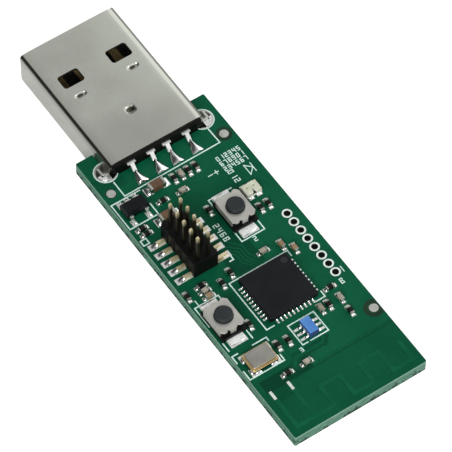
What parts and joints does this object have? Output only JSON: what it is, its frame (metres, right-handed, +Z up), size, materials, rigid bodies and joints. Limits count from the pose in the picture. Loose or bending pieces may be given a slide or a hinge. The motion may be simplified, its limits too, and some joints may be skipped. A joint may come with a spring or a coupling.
{
  "type": "smart home usb radio stick",
  "caption": "Bare radio stick: a small circuit board with a USB plug at one end, a printed aerial at the other, a pin header, plated holes and push switches.",
  "frame": {"origin": "centre of the bounding box in X and Y, at the plug's underside, which is the lowest face", "axes": "+Y out of the plug's mouth along the stick, +Z up from the side that carries the parts, +X across the board towards its row of plated holes"},
  "size_m": [0.0164, 0.0554, 0.0092],
  "materials": {
    "board_green": "green solder mask over glass laminate",
    "plug_steel": "plated sheet, satin",
    "plug_black": "moulded",
    "contact_metal": "plated strip",
    "solder": "bright solder",
    "tinned_copper": "tinned pads and rings",
    "covered_copper": "copper under solder mask",
    "pin_gold": "gold flash",
    "header_black": "moulded",
    "chip_black": "moulded, laser marked",
    "lead_tin": "tinned lead frame",
    "balun_blue": "glazed ceramic",
    "crystal_black": "ceramic",
    "crystal_gold": "gold seal ring",
    "crystal_steel": "lapped lid",
    "lamp_white": "white laminate",
    "lamp_lens": "clear moulding",
    "resistor_black": "glazed ceramic",
    "ceramic_tan": "fired ceramic",
    "ceramic_pale": "fired ceramic",
    "ceramic_brown": "fired ceramic",
    "switch_black": "moulded",
    "switch_steel": "stamped sheet",
    "button_slate": "moulded"
  },
  "bodies": {
    "stick": {"circuit_board": "board_green", "plug_shell": "plug_steel", "plug_insulator": "plug_black", "plug_contact_one": "contact_metal", "plug_contact_two": "contact_metal", "plug_contact_three": "contact_metal", "plug_contact_four": "contact_metal", "contact_solder": "solder", "component_solder": "solder", "tab_solder": "solder", "component_pads": "tinned_copper", "hole_barrels": "tinned_copper", "tab_barrels": "tinned_copper", "sighting_discs": "tinned_copper", "aerial_trace": "covered_copper", "header_body": "header_black", "header_pins_left": "pin_gold", "header_pins_right": "pin_gold", "radio_chip_body": "chip_black", "radio_chip_leads": "lead_tin", "regulator_body": "chip_black", "regulator_leads": "lead_tin", "balun_body": "balun_blue", "balun_terminals": "lead_tin", "crystal_base": "crystal_black", "crystal_rim": "crystal_gold", "crystal_lid": "crystal_steel", "led_base": "lamp_white", "led_lens": "lamp_lens", "led_terminals": "lead_tin", "resistor_bodies": "resistor_black", "resistor_ends": "lead_tin", "tan_capacitor_bodies": "ceramic_tan", "tan_capacitor_ends": "lead_tin", "pale_capacitor_bodies": "ceramic_pale", "pale_capacitor_ends": "lead_tin", "large_capacitor_bodies": "ceramic_brown", "large_capacitor_ends": "lead_tin", "switch_one_base": "switch_black", "switch_one_cover": "switch_steel", "switch_one_terminals": "lead_tin", "switch_two_base": "switch_black", "switch_two_cover": "switch_steel", "switch_two_terminals": "lead_tin"},
    "button_one": {"switch_one_button": "button_slate"},
    "button_two": {"switch_two_button": "button_slate"}
  },
  "joints": [
    {"name": "button_one_press", "type": "slide", "parent": "stick", "child": "button_one", "axis": [0, 0, -1], "range_m": [0, 0.00025], "stiffness_N_per_m": 6000},
    {"name": "button_two_press", "type": "slide", "parent": "stick", "child": "button_two", "axis": [0, 0, -1], "range_m": [0, 0.00025], "stiffness_N_per_m": 6000}
  ]
}
